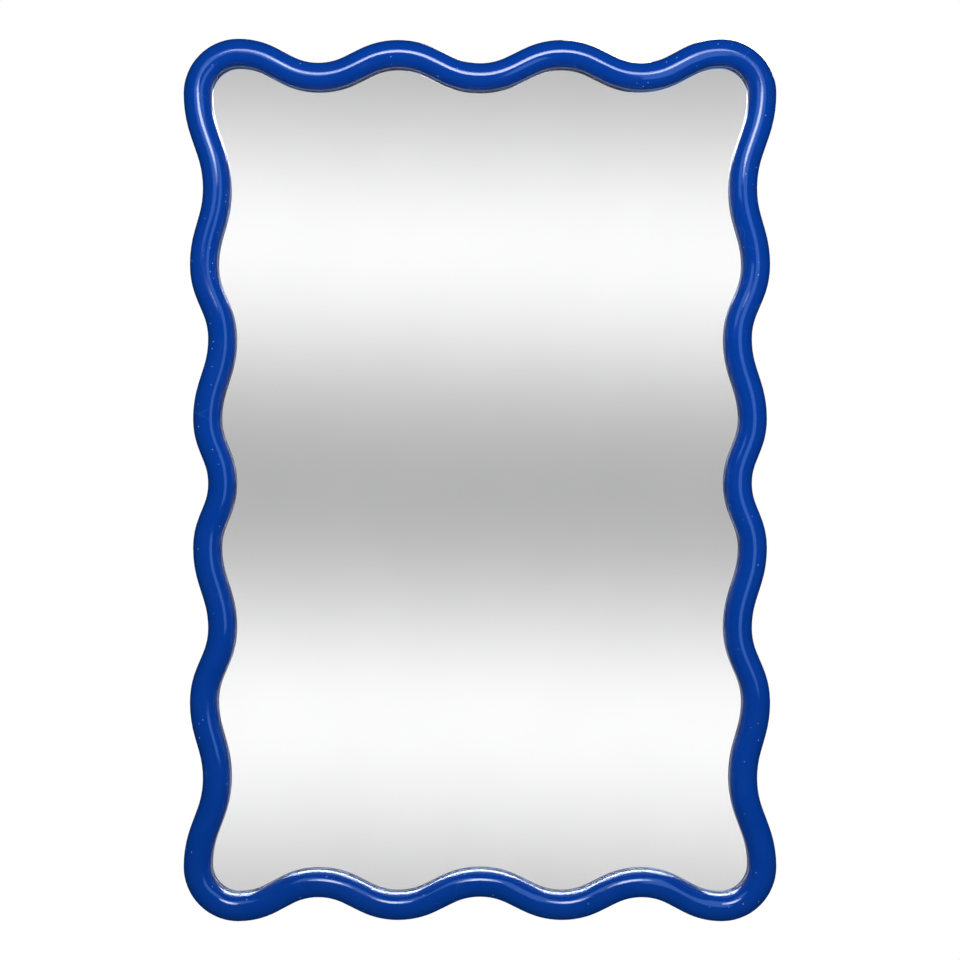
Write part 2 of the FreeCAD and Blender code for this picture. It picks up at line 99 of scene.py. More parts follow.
def leaveOut(name, pieces):   # for light linking: light that reaches everything but these
    group = bpy.data.collections.new(name)
    for piece in pieces:
        group.objects.link(piece)
    for member in group.collection_objects:
        member.light_linking.link_state = "EXCLUDE"
    return group


# camera: level, square on to the glass, a long lens as in the photograph
view = {"distance": 2.9, "planeY": -0.0205, "frameWidth": 0.9878, "sensor": 36.0}
camera = bpy.data.objects.new("camera", bpy.data.cameras.new("camera"))
scene.collection.objects.link(camera)
camera.data.sensor_width = view["sensor"]
camera.data.lens = view["sensor"] * view["distance"] / view["frameWidth"]
camera.location = (0, view["planeY"] - view["distance"], 0)
camera.rotation_euler = (math.pi / 2, 0, 0)
scene.camera = camera
print("camera set")

# blue polyurethane lacquer, sprayed on sealed fibreboard and polished: a deep even blue under a
# wet-looking skin with faint orange peel, slightly hazier patches, dust nibs and a few hairline rubs;
# duller on the inner wall, where no polishing wheel gets in, satin on the outer sides, only pale primer
# in the rabbet under the lip, and on the back a thin dry coat, through which fibres and mitres show
lacquerLook = {
    "colour": "#063A87",
    "deep": "#06357C",
    "nib": "#B4CBF2",
    "rub": "#114695",
    "backBlue": "#0C2F72",
    "backFibre": "#5B4C43",
    "seam": "#15100D",
    "primer": "#D3D6DA",
    "ior": 1.5,
    "polished": 0.06,            # roughness of the bead, and of each zone
    "hazy": 0.13,
    "wall": 0.34,
    "side": 0.62,
    "dry": 0.5,
    "wallMm": (-20.2, -19.4),    # along Y, where a zone begins and where it is full
    "sideMm": (-24, -17),
    "backMm": (-10.6, -9.4),
    "primerToMm": -12,
    "patchMm": 45,
    "hazeMm": 22,
    "hazeRange": (0.35, 0.65),   # noise levels between which a pattern comes up
    "peelMm": 3.5,
    "peelHeightMm": 0.018,
    "nibSpacingMm": 7,
    "nibRadiusMm": 0.8,          # about twice the real size, or they would not show
    "nibHeightMm": 0.06,
    "nibClusterMm": 60,
    "nibRange": (0.38, 0.62),
    "bareShares": (0.98, 0.3),   # spots without a nib, in clean and in dusty places
    "rubMm": 26,
    "rubLevel": 0.5,             # the noise level that a hairline follows
    "rubWidth": 0.009,           # hairlines are finer, drawn about 0.5 mm wide to show
    "rubClusterMm": 50,
    "rubRange": (0.54, 0.68),
    "fibreMm": 2.5,
    "fibreRange": (0.5, 0.7),
    "fibreShare": 0.8,
    "fibreHeightMm": 0.03,
    "seamMm": 0.5,
}
# the mitres lie where |z| - |x| is this
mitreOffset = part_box("right_stile")[1].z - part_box("top_rail")[1].x
blueLacquer, tree = newMaterial("bluePolyurethaneLacquer")
place = addNode(tree, "TexCoord").outputs["Object"]
axes = addNode(tree, "SeparateXYZ", sockets={0: place}).outputs
surface = addNode(tree, "NewGeometry").outputs["Normal"]

# skin with its nibs
patches = addNode(tree, "TexNoise", sockets={
    "Vector": place, "Scale": perMetre(lacquerLook["patchMm"]), "Detail": 2.0})
skin = addNode(tree, "Mix", mixColour, {
    0: patches.outputs["Fac"], 6: linear(lacquerLook["deep"]), 7: linear(lacquerLook["colour"])})
spots = addNode(tree, "TexVoronoi", sockets={
    "Vector": place, "Scale": perMetre(lacquerLook["nibSpacingMm"])})
spotSize = addNode(tree, "MapRange", smooth, {
    **falling, "Value": spots.outputs["Distance"],
    "From Max": lacquerLook["nibRadiusMm"] / lacquerLook["nibSpacingMm"]})
spotPick = addNode(tree, "SeparateColor", sockets={0: spots.outputs["Color"]})
clusters = addNode(tree, "TexNoise", sockets={
    "Vector": place, "Scale": perMetre(lacquerLook["nibClusterMm"]), "Detail": 1.0})
start, full = lacquerLook["nibRange"]
clean, dusty = lacquerLook["bareShares"]
bareShare = addNode(tree, "MapRange", sockets={
    "Value": clusters.outputs["Fac"], "From Min": start, "From Max": full, "To Min": clean, "To Max": dusty})
picked = addNode(tree, "Math", {"operation": "GREATER_THAN"}, {
    0: spotPick.outputs[0], 1: bareShare.outputs[0]})
nib = addNode(tree, "Math", {"operation": "MULTIPLY"}, {
    0: spotSize.outputs[0], 1: picked.outputs[0]}).outputs[0]
nibbed = addNode(tree, "Mix", mixColour, {0: nib, 6: skin.outputs[2], 7: linear(lacquerLook["nib"])})

# hairline rubs
swirl = addNode(tree, "TexNoise", sockets={
    "Vector": place, "Scale": perMetre(lacquerLook["rubMm"]), "Detail": 0.0, "Distortion": 0.6})
offLine = addNode(tree, "Math", {"operation": "SUBTRACT"}, {
    0: swirl.outputs["Fac"], 1: lacquerLook["rubLevel"]})
lineGap = addNode(tree, "Math", {"operation": "ABSOLUTE"}, {0: offLine.outputs[0]})
hairline = addNode(tree, "MapRange", sockets={
    **falling, "Value": lineGap.outputs[0], "From Max": lacquerLook["rubWidth"]})
handled = addNode(tree, "TexNoise", sockets={
    "Vector": place, "Scale": perMetre(lacquerLook["rubClusterMm"]), "Detail": 2.0})
start, full = lacquerLook["rubRange"]
handledShare = addNode(tree, "MapRange", sockets={
    "Value": handled.outputs["Fac"], "From Min": start, "From Max": full})
rub = addNode(tree, "Math", {"operation": "MULTIPLY"}, {
    0: hairline.outputs[0], 1: handledShare.outputs[0]}).outputs[0]
rubbed = addNode(tree, "Mix", mixColour, {0: rub, 6: nibbed.outputs[2], 7: linear(lacquerLook["rub"])})

# dry coat on the back, with its mitres
fibres = addNode(tree, "TexNoise", sockets={
    "Vector": place, "Scale": perMetre(lacquerLook["fibreMm"]), "Detail": 4.0,
    "Distortion": 1.0}).outputs["Fac"]
start, full = lacquerLook["fibreRange"]
fibreShare = addNode(tree, "MapRange", sockets={
    "Value": fibres, "From Min": start, "From Max": full, "To Max": lacquerLook["fibreShare"]})
dryCoat = addNode(tree, "Mix", mixColour, {
    0: fibreShare.outputs[0], 6: linear(lacquerLook["backBlue"]), 7: linear(lacquerLook["backFibre"])})
acrossSize = addNode(tree, "Math", {"operation": "ABSOLUTE"}, {0: axes["X"]})
upSize = addNode(tree, "Math", {"operation": "ABSOLUTE"}, {0: axes["Z"]})
upLessAcross = addNode(tree, "Math", {"operation": "SUBTRACT"}, {
    0: upSize.outputs[0], 1: acrossSize.outputs[0]})
fromMitre = addNode(tree, "Math", {"operation": "SUBTRACT"}, {0: upLessAcross.outputs[0], 1: mitreOffset})
mitreGap = addNode(tree, "Math", {"operation": "ABSOLUTE"}, {0: fromMitre.outputs[0]})
seam = addNode(tree, "MapRange", sockets={
    **falling, "Value": mitreGap.outputs[0], "From Max": metres(lacquerLook["seamMm"])})
seamedCoat = addNode(tree, "Mix", mixColour, {
    0: seam.outputs[0], 6: dryCoat.outputs[2], 7: linear(lacquerLook["seam"])})
start, full = lacquerLook["backMm"]
backShare = addNode(tree, "MapRange", sockets={
    "Value": axes["Y"], "From Min": metres(start), "From Max": metres(full)})
colour = addNode(tree, "Mix", mixColour, {
    0: backShare.outputs[0], 6: rubbed.outputs[2], 7: seamedCoat.outputs[2]})

# primer under the lip
backLean = addNode(tree, "SeparateXYZ", sockets={0: surface}).outputs["Y"]
underLip = addNode(tree, "Math", {"operation": "GREATER_THAN"}, {0: backLean, 1: backFacing})
forward = addNode(tree, "Math", {"operation": "LESS_THAN"}, {
    0: axes["Y"], 1: metres(lacquerLook["primerToMm"])})
primed = addNode(tree, "Math", {"operation": "MULTIPLY"}, {0: underLip.outputs[0], 1: forward.outputs[0]})
coated = addNode(tree, "Mix", mixColour, {
    0: primed.outputs[0], 6: colour.outputs[2], 7: linear(lacquerLook["primer"])})

# gloss by zone
haze = addNode(tree, "TexNoise", sockets={
    "Vector": place, "Scale": perMetre(lacquerLook["hazeMm"]), "Detail": 3.0})
start, full = lacquerLook["hazeRange"]
gloss = addNode(tree, "MapRange", sockets={
    "Value": haze.outputs["Fac"], "From Min": start, "From Max": full,
    "To Min": lacquerLook["polished"], "To Max": lacquerLook["hazy"]})
facing = addNode(tree, "VectorMath", {"operation": "DOT_PRODUCT"}, {0: surface, 1: place})
inward = addNode(tree, "Math", {"operation": "LESS_THAN"}, {0: facing.outputs["Value"], 1: 0.0})
zones = {}
for zone in ("wall", "side"):
    start, full = lacquerLook[zone + "Mm"]
    deepIn = addNode(tree, "MapRange", sockets={
        "Value": axes["Y"], "From Min": metres(start), "From Max": metres(full)})
    zones[zone] = addNode(tree, "Mix", mixValue, {
        0: deepIn.outputs[0], 2: gloss.outputs[0], 3: lacquerLook[zone]}).outputs[0]
walled = addNode(tree, "Mix", mixValue, {0: inward.outputs[0], 2: zones["side"], 3: zones["wall"]})
scuffed = addNode(tree, "Mix", mixValue, {0: rub, 2: walled.outputs[0], 3: lacquerLook["wall"]})
unpolished = addNode(tree, "Math", {"operation": "MAXIMUM"}, {
    0: backShare.outputs[0], 1: primed.outputs[0]})
roughness = addNode(tree, "Mix", mixValue, {
    0: unpolished.outputs[0], 2: scuffed.outputs[0], 3: lacquerLook["dry"]})

# relief: orange peel, nibs, and fibres on the back
peel = addNode(tree, "TexNoise", sockets={
    "Vector": place, "Scale": perMetre(lacquerLook["peelMm"]), "Detail": 1.0})
peelHeight = addNode(tree, "Math", {"operation": "MULTIPLY"}, {
    0: peel.outputs["Fac"], 1: lacquerLook["peelHeightMm"]})
nibHeight = addNode(tree, "Math", {"operation": "MULTIPLY_ADD"}, {
    0: nib, 1: lacquerLook["nibHeightMm"], 2: peelHeight.outputs[0]})
fibreLift = addNode(tree, "Math", {"operation": "MULTIPLY"}, {0: fibres, 1: backShare.outputs[0]})
heightMm = addNode(tree, "Math", {"operation": "MULTIPLY_ADD"}, {
    0: fibreLift.outputs[0], 1: lacquerLook["fibreHeightMm"], 2: nibHeight.outputs[0]})
bump = addNode(tree, "Bump", sockets={
    "Height": heightMm.outputs[0], "Distance": metres(1), "Strength": 1.0})
shader = addNode(tree, "BsdfPrincipled", sockets={
    "Base Color": coated.outputs[2], "Roughness": roughness.outputs[0], "IOR": lacquerLook["ior"],
    "Normal": bump.outputs["Normal"]})
addNode(tree, "OutputMaterial", sockets={"Surface": shader.outputs["BSDF"]})

# silver, laid chemically on the back of the glass: nearly all light comes back, a touch less in soft clouds
silverLook = {"clear": "#FAFAFB", "cloud": "#F5F5F6", "cloudMm": 90}
silver, tree = newMaterial("depositedSilver")
place = addNode(tree, "TexCoord").outputs["Object"]
clouds = addNode(tree, "TexNoise", sockets={
    "Vector": place, "Scale": perMetre(silverLook["cloudMm"]), "Detail": 1.0})
colour = addNode(tree, "Mix", mixColour, {
    0: clouds.outputs["Fac"], 6: linear(silverLook["clear"]), 7: linear(silverLook["cloud"])})
shader = addNode(tree, "BsdfPrincipled", sockets={
    "Base Color": colour.outputs[2], "Metallic": 1.0, "Roughness": 0.0})
addNode(tree, "OutputMaterial", sockets={"Surface": shader.outputs["BSDF"]})

# mirror backing paint, curtain coated over the silver: flat grey with a fine grit
paintLook = {"light": "#8C9094", "dark": "#7D8185", "roughness": 0.6, "gritMm": 1.2, "heightMm": 0.02}
backingPaint, tree = newMaterial("greyBackingPaint")
place = addNode(tree, "TexCoord").outputs["Object"]
grit = addNode(tree, "TexNoise", sockets={
    "Vector": place, "Scale": perMetre(paintLook["gritMm"]), "Detail": 3.0})
colour = addNode(tree, "Mix", mixColour, {
    0: grit.outputs["Fac"], 6: linear(paintLook["dark"]), 7: linear(paintLook["light"])})
bump = addNode(tree, "Bump", sockets={
    "Height": grit.outputs["Fac"], "Distance": metres(paintLook["heightMm"]), "Strength": 1.0})
shader = addNode(tree, "BsdfPrincipled", sockets={
    "Base Color": colour.outputs[2], "Roughness": paintLook["roughness"], "Normal": bump.outputs["Normal"]})
addNode(tree, "OutputMaterial", sockets={"Surface": shader.outputs["BSDF"]})

# float glass, fire polished: clear, with the faintest haze where it was wiped
glassLook = {"colour": "#FDFDFD", "ior": 1.52, "hazeMm": 120, "hazeRange": (0.5, 0.75), "haze": 0.012}
floatGlass, tree = newMaterial("floatGlass")
place = addNode(tree, "TexCoord").outputs["Object"]
wipes = addNode(tree, "TexNoise", sockets={
    "Vector": place, "Scale": perMetre(glassLook["hazeMm"]), "Detail": 2.0, "Distortion": 1.5})
start, full = glassLook["hazeRange"]
roughness = addNode(tree, "MapRange", sockets={
    "Value": wipes.outputs["Fac"], "From Min": start, "From Max": full, "To Max": glassLook["haze"]})
shader = addNode(tree, "BsdfPrincipled", sockets={
    "Base Color": linear(glassLook["colour"]), "IOR": glassLook["ior"], "Roughness": roughness.outputs[0],
    "Transmission Weight": 1.0})
addNode(tree, "OutputMaterial", sockets={"Surface": shader.outputs["BSDF"]})

# white polyethylene foam, extruded and slit: matte, full of small closed cells, each with painted shade
# darkening its hollow middle
foamLook = {"wall": "#F1F2F3", "shadedCell": "#DADCDF", "roughness": 0.9, "cellMm": 0.5, "heightMm": 0.08}
foam, tree = newMaterial("whitePolyethyleneFoam")
place = addNode(tree, "TexCoord").outputs["Object"]
cells = addNode(tree, "TexVoronoi", sockets={"Vector": place, "Scale": perMetre(foamLook["cellMm"])})
# painted shade: grey in the middle of each cell, where its dimple is, and white at the cell walls
colour = addNode(tree, "Mix", mixColour, {
    0: cells.outputs["Distance"], 6: linear(foamLook["shadedCell"]), 7: linear(foamLook["wall"])})
bump = addNode(tree, "Bump", sockets={
    "Height": cells.outputs["Distance"], "Distance": metres(foamLook["heightMm"]), "Strength": 1.0})
shader = addNode(tree, "BsdfPrincipled", sockets={
    "Base Color": colour.outputs[2], "Roughness": foamLook["roughness"], "Normal": bump.outputs["Normal"]})
addNode(tree, "OutputMaterial", sockets={"Surface": shader.outputs["BSDF"]})

# hardboard, pressed wet on a wire screen: warm brown, felted fibres, dark specks of bark, and the
# screen's print
boardLook = {
    "pale": "#A27B52",
    "brown": "#7E5837",
    "bark": "#3D291B",
    "roughness": (0.65, 0.85),
    "fibreMm": 5,
    "fibreRange": (0.3, 0.7),
    "fibreHeightMm": 0.1,
    "barkMm": 3,
    "barkRange": (0.62, 0.72),
    "barkShare": 0.85,
    "screenMm": 3.2,   # real screens are nearer 2 mm, drawn coarser to show
    "screenHeightMm": 0.12,
}
hardboard, tree = newMaterial("screenPressedHardboard")
place = addNode(tree, "TexCoord").outputs["Object"]
axes = addNode(tree, "SeparateXYZ", sockets={0: place}).outputs
fibres = addNode(tree, "TexNoise", sockets={
    "Vector": place, "Scale": perMetre(boardLook["fibreMm"]), "Detail": 6.0, "Roughness": 0.7,
    "Distortion": 2.0}).outputs["Fac"]
start, full = boardLook["fibreRange"]
paleShare = addNode(tree, "MapRange", sockets={"Value": fibres, "From Min": start, "From Max": full})
colour = addNode(tree, "Mix", mixColour, {
    0: paleShare.outputs[0], 6: linear(boardLook["brown"]), 7: linear(boardLook["pale"])})
bark = addNode(tree, "TexNoise", sockets={
    "Vector": place, "Scale": perMetre(boardLook["barkMm"]), "Detail": 3.0, "Distortion": 0.8})
start, full = boardLook["barkRange"]
barkShare = addNode(tree, "MapRange", sockets={
    "Value": bark.outputs["Fac"], "From Min": start, "From Max": full, "To Max": boardLook["barkShare"]})
flecked = addNode(tree, "Mix", mixColour, {
    0: barkShare.outputs[0], 6: colour.outputs[2], 7: linear(boardLook["bark"])})
wires = []
for axis in ("X", "Z"):
    phase = addNode(tree, "Math", {"operation": "MULTIPLY"}, {
        0: axes[axis], 1: 2 * math.pi * perMetre(boardLook["screenMm"])})
    wires.append(addNode(tree, "Math", {"operation": "SINE"}, {0: phase.outputs[0]}).outputs[0])
screen = addNode(tree, "Math", {"operation": "MULTIPLY"}, {0: wires[0], 1: wires[1]})
screenHeight = addNode(tree, "Math", {"operation": "MULTIPLY"}, {
    0: screen.outputs[0], 1: boardLook["screenHeightMm"]})
heightMm = addNode(tree, "Math", {"operation": "MULTIPLY_ADD"}, {
    0: fibres, 1: boardLook["fibreHeightMm"], 2: screenHeight.outputs[0]})
bump = addNode(tree, "Bump", sockets={
    "Height": heightMm.outputs[0], "Distance": metres(1), "Strength": 1.0})
smoothest, roughest = boardLook["roughness"]
roughness = addNode(tree, "MapRange", sockets={"Value": fibres, "To Min": smoothest, "To Max": roughest})
shader = addNode(tree, "BsdfPrincipled", sockets={
    "Base Color": flecked.outputs[2], "Roughness": roughness.outputs[0], "Normal": bump.outputs["Normal"]})
addNode(tree, "OutputMaterial", sockets={"Surface": shader.outputs["BSDF"]})

# beech, turned to dowels: pale pinkish wood with short brown flecks
beechLook = {
    "pale": "#D9B48A",
    "brown": "#B98A5E",
    "roughness": 0.55,
    "fleckMm": 1.5,
    "fleckSqueeze": (0.25, 1.0, 0.25),
    "cloudMm": 8,
    "brownRange": (0.15, 0.4),
    "heightMm": 0.03,
}
beech, tree = newMaterial("turnedBeech")
place = addNode(tree, "TexCoord").outputs["Object"]
squeezed = addNode(tree, "VectorMath", {"operation": "MULTIPLY"}, {0: place, 1: beechLook["fleckSqueeze"]})
flecks = addNode(tree, "TexNoise", sockets={
    "Vector": squeezed.outputs[0], "Scale": perMetre(beechLook["fleckMm"]), "Detail": 3.0})
clouds = addNode(tree, "TexNoise", sockets={
    "Vector": place, "Scale": perMetre(beechLook["cloudMm"]), "Detail": 2.0})
clouded = addNode(tree, "Math", {"operation": "MULTIPLY"}, {
    0: flecks.outputs["Fac"], 1: clouds.outputs["Fac"]})
start, full = beechLook["brownRange"]
brownShare = addNode(tree, "MapRange", sockets={
    "Value": clouded.outputs[0], "From Min": start, "From Max": full})
colour = addNode(tree, "Mix", mixColour, {
    0: brownShare.outputs[0], 6: linear(beechLook["pale"]), 7: linear(beechLook["brown"])})
bump = addNode(tree, "Bump", sockets={
    "Height": flecks.outputs["Fac"], "Distance": metres(beechLook["heightMm"]), "Strength": 1.0})
shader = addNode(tree, "BsdfPrincipled", sockets={
    "Base Color": colour.outputs[2], "Roughness": beechLook["roughness"], "Normal": bump.outputs["Normal"]})
addNode(tree, "OutputMaterial", sockets={"Surface": shader.outputs["BSDF"]})

# steel, stamped or headed, zinc plated and blue passivated: pale grey with a bluish cast that drifts to
# straw, a soft sheen and fine handling scratches
zincLook = {
    "blue": "#BCC6D2",
    "straw": "#D2CDBD",
    "roughness": (0.22, 0.4),
    "castMm": 6,
    "castRange": (0.35, 0.7),
    "scratchMm": 0.6,
    "scratchRange": (0.3, 0.7),
    "scratchSqueeze": (0.12, 1.0, 1.0),
    "heightMm": 0.012,
}
zincSteel, tree = newMaterial("zincPlatedSteel")
place = addNode(tree, "TexCoord").outputs["Object"]
cast = addNode(tree, "TexNoise", sockets={
    "Vector": place, "Scale": perMetre(zincLook["castMm"]), "Detail": 3.0})
start, full = zincLook["castRange"]
castShare = addNode(tree, "MapRange", sockets={
    "Value": cast.outputs["Fac"], "From Min": start, "From Max": full})
colour = addNode(tree, "Mix", mixColour, {
    0: castShare.outputs[0], 6: linear(zincLook["blue"]), 7: linear(zincLook["straw"])})
squeezed = addNode(tree, "VectorMath", {"operation": "MULTIPLY"}, {0: place, 1: zincLook["scratchSqueeze"]})
scratches = addNode(tree, "TexNoise", sockets={
    "Vector": squeezed.outputs[0], "Scale": perMetre(zincLook["scratchMm"]), "Detail": 3.0})
start, full = zincLook["scratchRange"]
smoothest, roughest = zincLook["roughness"]
roughness = addNode(tree, "MapRange", sockets={
    "Value": scratches.outputs["Fac"], "From Min": start, "From Max": full,
    "To Min": smoothest, "To Max": roughest})
bump = addNode(tree, "Bump", sockets={
    "Height": scratches.outputs["Fac"], "Distance": metres(zincLook["heightMm"]), "Strength": 1.0})
shader = addNode(tree, "BsdfPrincipled", sockets={
    "Base Color": colour.outputs[2], "Metallic": 1.0, "Roughness": roughness.outputs[0],
    "Normal": bump.outputs["Normal"]})
addNode(tree, "OutputMaterial", sockets={"Surface": shader.outputs["BSDF"]})

# steel wire, drawn, bent and nickel plated: bright warm grey with a little grey bloom and faint die lines
nickelLook = {
    "bright": "#DDD6C9",
    "bloom": "#BDB6AA",
    "roughness": (0.1, 0.28),
    "bloomMm": 3,
    "bloomRange": (0.45, 0.75),
    "dullRange": (0.35, 0.75),
    "lineMm": 0.5,
    "heightMm": 0.006,
}
nickelWire, tree = newMaterial("nickelPlatedWire")
place = addNode(tree, "TexCoord").outputs["Object"]
bloom = addNode(tree, "TexNoise", sockets={
    "Vector": place, "Scale": perMetre(nickelLook["bloomMm"]), "Detail": 3.0}).outputs["Fac"]
start, full = nickelLook["bloomRange"]
bloomShare = addNode(tree, "MapRange", sockets={"Value": bloom, "From Min": start, "From Max": full})
colour = addNode(tree, "Mix", mixColour, {
    0: bloomShare.outputs[0], 6: linear(nickelLook["bright"]), 7: linear(nickelLook["bloom"])})
start, full = nickelLook["dullRange"]
smoothest, roughest = nickelLook["roughness"]
roughness = addNode(tree, "MapRange", sockets={
    "Value": bloom, "From Min": start, "From Max": full, "To Min": smoothest, "To Max": roughest})
lines = addNode(tree, "TexNoise", sockets={
    "Vector": place, "Scale": perMetre(nickelLook["lineMm"]), "Detail": 2.0})
bump = addNode(tree, "Bump", sockets={
    "Height": lines.outputs["Fac"], "Distance": metres(nickelLook["heightMm"]), "Strength": 1.0})
shader = addNode(tree, "BsdfPrincipled", sockets={
    "Base Color": colour.outputs[2], "Metallic": 1.0, "Roughness": roughness.outputs[0],
    "Normal": bump.outputs["Normal"]})
addNode(tree, "OutputMaterial", sockets={"Surface": shader.outputs["BSDF"]})

# soft polyurethane rubber, moulded: smoky grey, satin, with light inside it and a trace of dust
rubberLook = {
    "clean": "#6A6D6F",
    "dusty": "#8E9090",
    "roughness": (0.38, 0.6),
    "glowShare": 0.25,
    "glowDepthMm": 2,
    "dustMm": 2.5,
    "dustRange": (0.5, 0.8),
    "skinMm": 0.6,
    "heightMm": 0.015,
}
rubber, tree = newMaterial("mouldedGreyRubber")
place = addNode(tree, "TexCoord").outputs["Object"]
dust = addNode(tree, "TexNoise", sockets={
    "Vector": place, "Scale": perMetre(rubberLook["dustMm"]), "Detail": 4.0}).outputs["Fac"]
start, full = rubberLook["dustRange"]
dustShare = addNode(tree, "MapRange", sockets={"Value": dust, "From Min": start, "From Max": full})
colour = addNode(tree, "Mix", mixColour, {
    0: dustShare.outputs[0], 6: linear(rubberLook["clean"]), 7: linear(rubberLook["dusty"])})
smoothest, roughest = rubberLook["roughness"]
roughness = addNode(tree, "MapRange", sockets={"Value": dust, "To Min": smoothest, "To Max": roughest})
skinGrain = addNode(tree, "TexNoise", sockets={
    "Vector": place, "Scale": perMetre(rubberLook["skinMm"]), "Detail": 2.0})
bump = addNode(tree, "Bump", sockets={
    "Height": skinGrain.outputs["Fac"], "Distance": metres(rubberLook["heightMm"]), "Strength": 1.0})
shader = addNode(tree, "BsdfPrincipled", sockets={
    "Base Color": colour.outputs[2], "Roughness": roughness.outputs[0], "Normal": bump.outputs["Normal"],
    "Subsurface Weight": rubberLook["glowShare"], "Subsurface Radius": (1.0, 1.0, 1.0),
    "Subsurface Scale": metres(rubberLook["glowDepthMm"])})
addNode(tree, "OutputMaterial", sockets={"Surface": shader.outputs["BSDF"]})
print("materials made")

finishes = {
    "rail": blueLacquer,
    "stile": blueLacquer,
    "foam_tape": foam,
    "dowels": beech,
    "board": hardboard,
    "strap": zincSteel,
    "screws": zincSteel,   # after the board, because the board's screws have both words in their name
    "d_ring": nickelWire,
    "bumper": rubber,
}
for name, piece in nodes.items():
    for word, finish in finishes.items():
        if word in name:
            dress(piece, finish)
print("solids dressed")

# glass: the clear sheet and the painted silver behind it, both inside the CAD sheet
glassLayers = {"silverMm": 0.1, "gapMm": 0.02}
front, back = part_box("mirror_glass")[0].y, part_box("mirror_glass")[1].y
seamY = back - metres(glassLayers["silverMm"])
gap = metres(glassLayers["gapMm"])   # keeps the sheet a hair off the tape and the silver
layers = []
for name, low, high, finish in (
    ("clearGlass", front + gap, seamY - gap, floatGlass),
    ("silverLayer", seamY, back, silver),
):
    mesh = nodes["mirror_glass"].data.copy()
    for vertex in mesh.vertices:
        vertex.co.y = low if vertex.co.y < (front + back) / 2 else high
    piece = addMesh(name, mesh)
    dress(piece, finish, backingPaint)
    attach(piece, "mirror")
    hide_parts("mirror_glass")
    layers.append(piece)
for face in layers[1].data.polygons:
    face.material_index = 1 if face.normal.y > backFacing else 0
print("glass layered")

# lights: a round softbox with its bulb high in front, a dim blue panel at each side, and one box behind;
# the glass shows the banded card instead of the lamps
panels = {
    "overheadBox": {"place": (0, -1.77, 0.91), "size": (1.0, 0.8), "radiance": 8.6, "colour": "#DCE7FF"},
    "overheadBulb": {"place": (0, -1.76, 0.84), "size": (0.56, 0.5), "radiance": 10.5, "colour": "#EEF3FF"},
    "rightPanel": {"place": (0.42, -0.92, 0.22), "size": (0.46, 1.0), "radiance": 3.0, "colour": "#86BCFF"},
    "leftPanel": {"place": (-0.38, -0.92, 0.55), "size": (0.5, 0.5), "radiance": 3.0, "colour": "#86BCFF"},
    "rearBox": {"place": (0.7, 1.9, 1.3), "size": (1.0, 1.0), "radiance": 7, "colour": "#FFF9F0"},
}
noGlass = leaveOut("noGlass", layers)
for name, panel in panels.items():
    lamp = bpy.data.lights.new(name, "AREA")
    lamp.shape = "ELLIPSE" if "overhead" in name else "RECTANGLE"
    lamp.size, lamp.size_y = panel["size"]
    area = lamp.size * lamp.size_y * (math.pi / 4 if lamp.shape == "ELLIPSE" else 1)
    lamp.energy = panel["radiance"] * math.pi * area
    lamp.color = linear(panel["colour"])[:3]
    holder = bpy.data.objects.new(name, lamp)
    scene.collection.objects.link(holder)
    holder.location = panel["place"]
    toMiddle = Vector((0, 0, 0)) - holder.location
    holder.rotation_euler = toMiddle.to_track_quat("-Z", "Y").to_euler()
    holder.visible_camera = False
    holder.light_linking.receiver_collection = noGlass

# card: a round room of pale card, two soft bands in front and a window above; glass and metal reflect it,
# the lacquer sees only the lamps, as between black flags
card = {
    "radius": 3.3,
    "height": 5.0,
    "steps": 96,
    "period": 1.042,
    "middle": -0.0153,
    "tilt": 0.023,
    "lowBand": -0.52,            # below it the band is wider
    "stretch": 0.13,
    "level": 216,                # in the screen's levels, of which 255 is white
    "swing": 37,
    "whiteLevel": 255,
    "gamma": 2.2,
    "glassShare": 0.91,
    "sideRange": (0.19, 0.42),   # this and the other ranges of fades and window: sines of the direction
    "sideTone": 0.85,
    "lowRange": (-0.28, -0.4),
    "lowTone": 0.75,
    "white": "#FFFFFF",
    "flagTint": "#CBDAF6",       # what the lacquer sees by way of the glass is bluer and darker
    "flagSide": 0.2,
    "flagLow": 0.15,
    "flagFront": 0.25,           # a dark patch round the camera
    "flagMiddle": -0.13,
    "flagReach": (0.13, 0.24),
    "sill": (0.3, 0.34),
    "head": (0.8, 0.88),
    "jamb": (0.36, 0.45),
    "windowRadiance": 15,
}
points, faces = [], []
for i in range(card["steps"]):
    turn = 2 * math.pi * i / card["steps"]
    for z in (-card["height"] / 2, card["height"] / 2):
        points.append((card["radius"] * math.sin(turn), -card["radius"] * math.cos(turn), z))
for i in range(card["steps"]):
    j = (i + 1) % card["steps"]
    faces.append((2 * i, 2 * i + 1, 2 * j + 1, 2 * j))
faces.append(tuple(2 * i for i in range(card["steps"])))
faces.append(tuple(2 * i + 1 for i in reversed(range(card["steps"]))))
mesh = bpy.data.meshes.new("studioCard")
mesh.from_pydata(points, [], faces)
studioCard = addMesh("studioCard", mesh)
paleCard, tree = newMaterial("paleCard")
place = addNode(tree, "TexCoord").outputs["Object"]
axes = addNode(tree, "SeparateXYZ", sockets={0: place}).outputs

